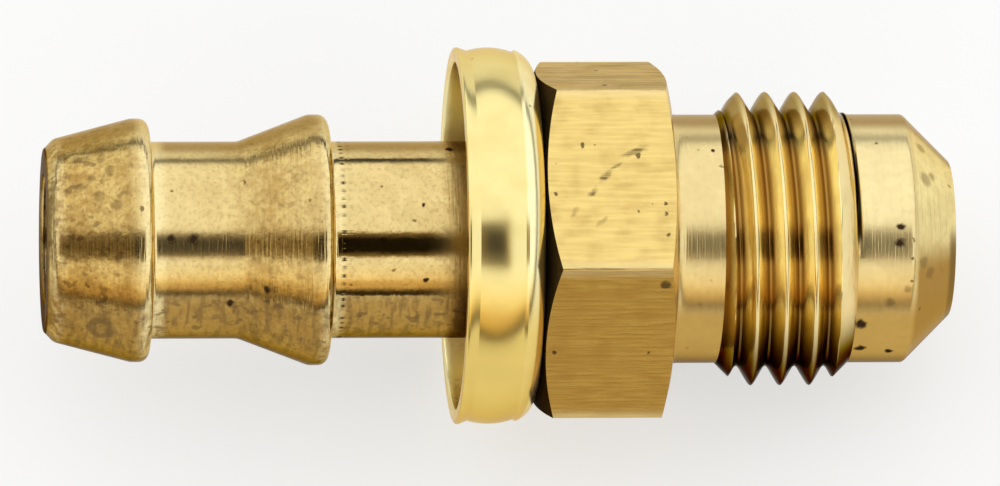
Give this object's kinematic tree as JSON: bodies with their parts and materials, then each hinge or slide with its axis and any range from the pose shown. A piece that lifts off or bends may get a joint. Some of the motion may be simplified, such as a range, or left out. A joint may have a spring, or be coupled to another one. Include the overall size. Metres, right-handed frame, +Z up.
{
  "type": "hose barb fitting",
  "caption": "Brass hose fitting with a barbed push-on tail, a loose cup collar, a wrench hexagon and a threaded 45 degree flare end, with a straight flow bore through it.",
  "frame": {"origin": "on the table under the middle of the lying fitting's box", "axes": "+X along the fitting from its tail to its flare end, +Z up from the table; the flow axis lies in the XZ plane and dips towards +X as the fitting rests"},
  "size_m": [0.0396, 0.0166, 0.0164],
  "materials": {
    "body_brass": "turned brass, lightly tarnished, with dark specks and tool marks",
    "collar_brass": "drawn brass, clean and polished"
  },
  "bodies": {
    "fitting": {"fitting_body": "body_brass"},
    "collar": {"hose_collar": "collar_brass"}
  },
  "joints": [
    {"name": "collar_spin", "type": "hinge", "parent": "fitting", "child": "collar", "pos_m": [0.00126, 0, 0.00801], "axis": [0.9973, 0, -0.0739], "continuous": true}
  ]
}
